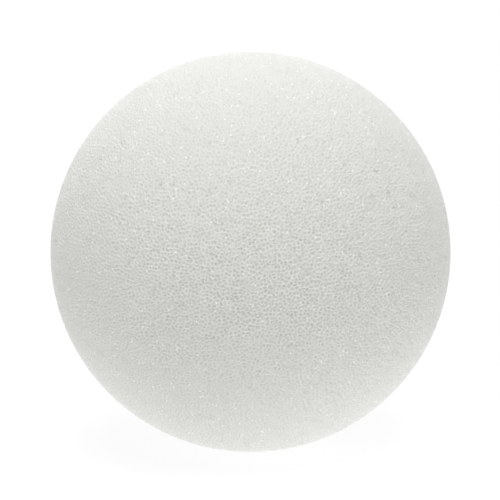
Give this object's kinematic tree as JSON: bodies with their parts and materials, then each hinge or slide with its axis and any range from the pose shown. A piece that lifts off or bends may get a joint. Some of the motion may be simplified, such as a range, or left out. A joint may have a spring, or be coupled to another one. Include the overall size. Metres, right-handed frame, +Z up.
{
  "type": "polystyrene ball",
  "caption": "Solid white foam craft ball, cut and ground round, with a fine open-cell surface web and no seam, hole or flat.",
  "frame": {"origin": "centre of the ball", "axes": "+Z up, through the centre; the ball is alike about every axis, so X and Y are free"},
  "size_m": [0.1, 0.1, 0.1],
  "materials": {
    "foam": "bare white extruded polystyrene foam, cut across its cells: matt, with small glints where a cell wall lies flat"
  },
  "bodies": {
    "root": {"foam_ball": "foam"}
  },
  "joints": []
}
